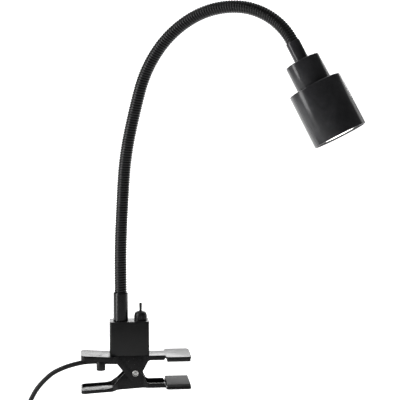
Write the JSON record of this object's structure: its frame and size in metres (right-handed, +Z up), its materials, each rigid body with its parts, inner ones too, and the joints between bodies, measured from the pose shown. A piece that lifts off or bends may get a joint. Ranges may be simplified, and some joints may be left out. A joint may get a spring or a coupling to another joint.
{
  "type": "clip-on reading lamp",
  "caption": "Clip-on reading lamp: a sprung bench clamp carries a switch box, a bendable ribbed neck and a stepped spot head with its bulb lit.",
  "frame": {"origin": "centre of the upper jaw pad's gripping face, where it rests on the edge of a board", "axes": "+Z up, +X along the jaws away from the finger levers, -Y towards the viewer at the front"},
  "size_m": [0.4476, 0.1869, 0.4403],
  "materials": {
    "clamp_paint": "satin black powder coat",
    "pad_rubber": "dull black rubber",
    "bright_steel": "bright plated steel",
    "spring_steel": "drawn wire",
    "housing_plastic": "fine matte moulding",
    "plain_steel": "plated steel",
    "pale_plastic": "plain pale moulding",
    "switch_plastic": "half gloss black moulding",
    "contact_brass": "bare brass",
    "head_paint": "satin black paint",
    "neck_paint": "satin black coated steel coil",
    "bulb_plastic": "dark matte moulding",
    "lit_lens": "frosted lens, lit",
    "cord_rubber": "smooth black cable sheath"
  },
  "bodies": {
    "base": {"clamp_upper": "clamp_paint", "upper_jaw_pad": "pad_rubber", "pivot_screw": "bright_steel", "pivot_nut": "bright_steel", "torsion_spring": "spring_steel", "switch_housing": "housing_plastic", "housing_base": "plain_steel", "housing_screws": "plain_steel", "terminal_block": "pale_plastic", "switch_body": "switch_plastic", "switch_terminals": "contact_brass", "switch_collar": "switch_plastic", "base_ferrule": "head_paint", "base_locknut": "plain_steel", "neck_link_0": "neck_paint", "cord_clip": "switch_plastic", "clip_screw": "switch_plastic", "cord_relief": "cord_rubber", "cord_lead": "cord_rubber", "cord_coil": "cord_rubber", "coil_tie": "pad_rubber", "cord_tail": "cord_rubber", "plug_body": "cord_rubber", "plug_pins": "plain_steel"},
    "jaw": {"clamp_lower": "clamp_paint", "lower_jaw_pad": "pad_rubber"},
    "toggle": {"toggle_lever": "switch_plastic"},
    "neck_1": {"neck_link_1": "neck_paint"},
    "neck_2": {"neck_link_2": "neck_paint"},
    "neck_3": {"neck_link_3": "neck_paint"},
    "neck_4": {"neck_link_4": "neck_paint"},
    "neck_5": {"neck_link_5": "neck_paint"},
    "neck_6": {"neck_link_6": "neck_paint"},
    "neck_7": {"neck_link_7": "neck_paint"},
    "neck_8": {"neck_link_8": "neck_paint"},
    "head": {"neck_link_9": "neck_paint", "head_ferrule": "head_paint", "head_locknut": "plain_steel", "head_cap": "head_paint", "shade": "head_paint", "holder_bracket": "plain_steel", "holder_screws": "plain_steel", "lamp_holder": "pale_plastic", "holder_contacts": "contact_brass", "bulb_body": "bulb_plastic", "bulb_lens": "lit_lens", "bulb_pins": "plain_steel"}
  },
  "joints": [
    {"name": "clamp_hinge", "type": "hinge", "parent": "base", "child": "jaw", "pos_m": [-0.0442, 0, -0.013], "axis": [0, -1, 0], "range_deg": [-20, 23], "stiffness_Nm_per_rad": 0.95, "springref_deg": 60.16, "deforming": ["torsion_spring"]},
    {"name": "toggle_throw", "type": "hinge", "parent": "base", "child": "toggle", "pos_m": [-0.0382, 0, 0.0458], "axis": [1, 0, 0], "range_deg": [-22, 0]},
    {"name": "neck_bend_1", "type": "hinge", "parent": "base", "child": "neck_1", "pos_m": [-0.0586, 0, 0.09325], "axis": [0.3907, 0.9205, 0], "range_deg": [-25, 25]},
    {"name": "neck_side_2", "type": "hinge", "parent": "neck_1", "child": "neck_2", "pos_m": [-0.05748, -0.00048, 0.13973], "axis": [0.9192, -0.3902, -0.0523], "range_deg": [-20, 20]},
    {"name": "neck_bend_3", "type": "hinge", "parent": "neck_2", "child": "neck_3", "pos_m": [-0.05487, -0.00159, 0.18614], "axis": [0.3907, 0.9205, 0], "range_deg": [-25, 25]},
    {"name": "neck_side_4", "type": "hinge", "parent": "neck_3", "child": "neck_4", "pos_m": [-0.04873, -0.00419, 0.23212], "axis": [0.8987, -0.3815, -0.2164], "range_deg": [-20, 20]},
    {"name": "neck_bend_5", "type": "hinge", "parent": "neck_4", "child": "neck_5", "pos_m": [-0.0382, -0.00866, 0.27718], "axis": [0.3907, 0.9205, 0], "range_deg": [-25, 25]},
    {"name": "neck_side_6", "type": "hinge", "parent": "neck_5", "child": "neck_6", "pos_m": [-0.0192, -0.01672, 0.31856], "axis": [0.7351, -0.3121, -0.6018], "range_deg": [-20, 20]},
    {"name": "neck_bend_7", "type": "hinge", "parent": "neck_6", "child": "neck_7", "pos_m": [0.01309, -0.03043, 0.34852], "axis": [0.3907, 0.9205, 0], "range_deg": [-25, 25]},
    {"name": "neck_side_8", "type": "hinge", "parent": "neck_7", "child": "neck_8", "pos_m": [0.05432, -0.04793, 0.35886], "axis": [-0.0321, 0.0136, -0.9994], "range_deg": [-20, 20]},
    {"name": "neck_bend_9", "type": "hinge", "parent": "neck_8", "child": "head", "pos_m": [0.09338, -0.06451, 0.34215], "axis": [0.3907, 0.9205, 0], "range_deg": [-30, 10]}
  ]
}
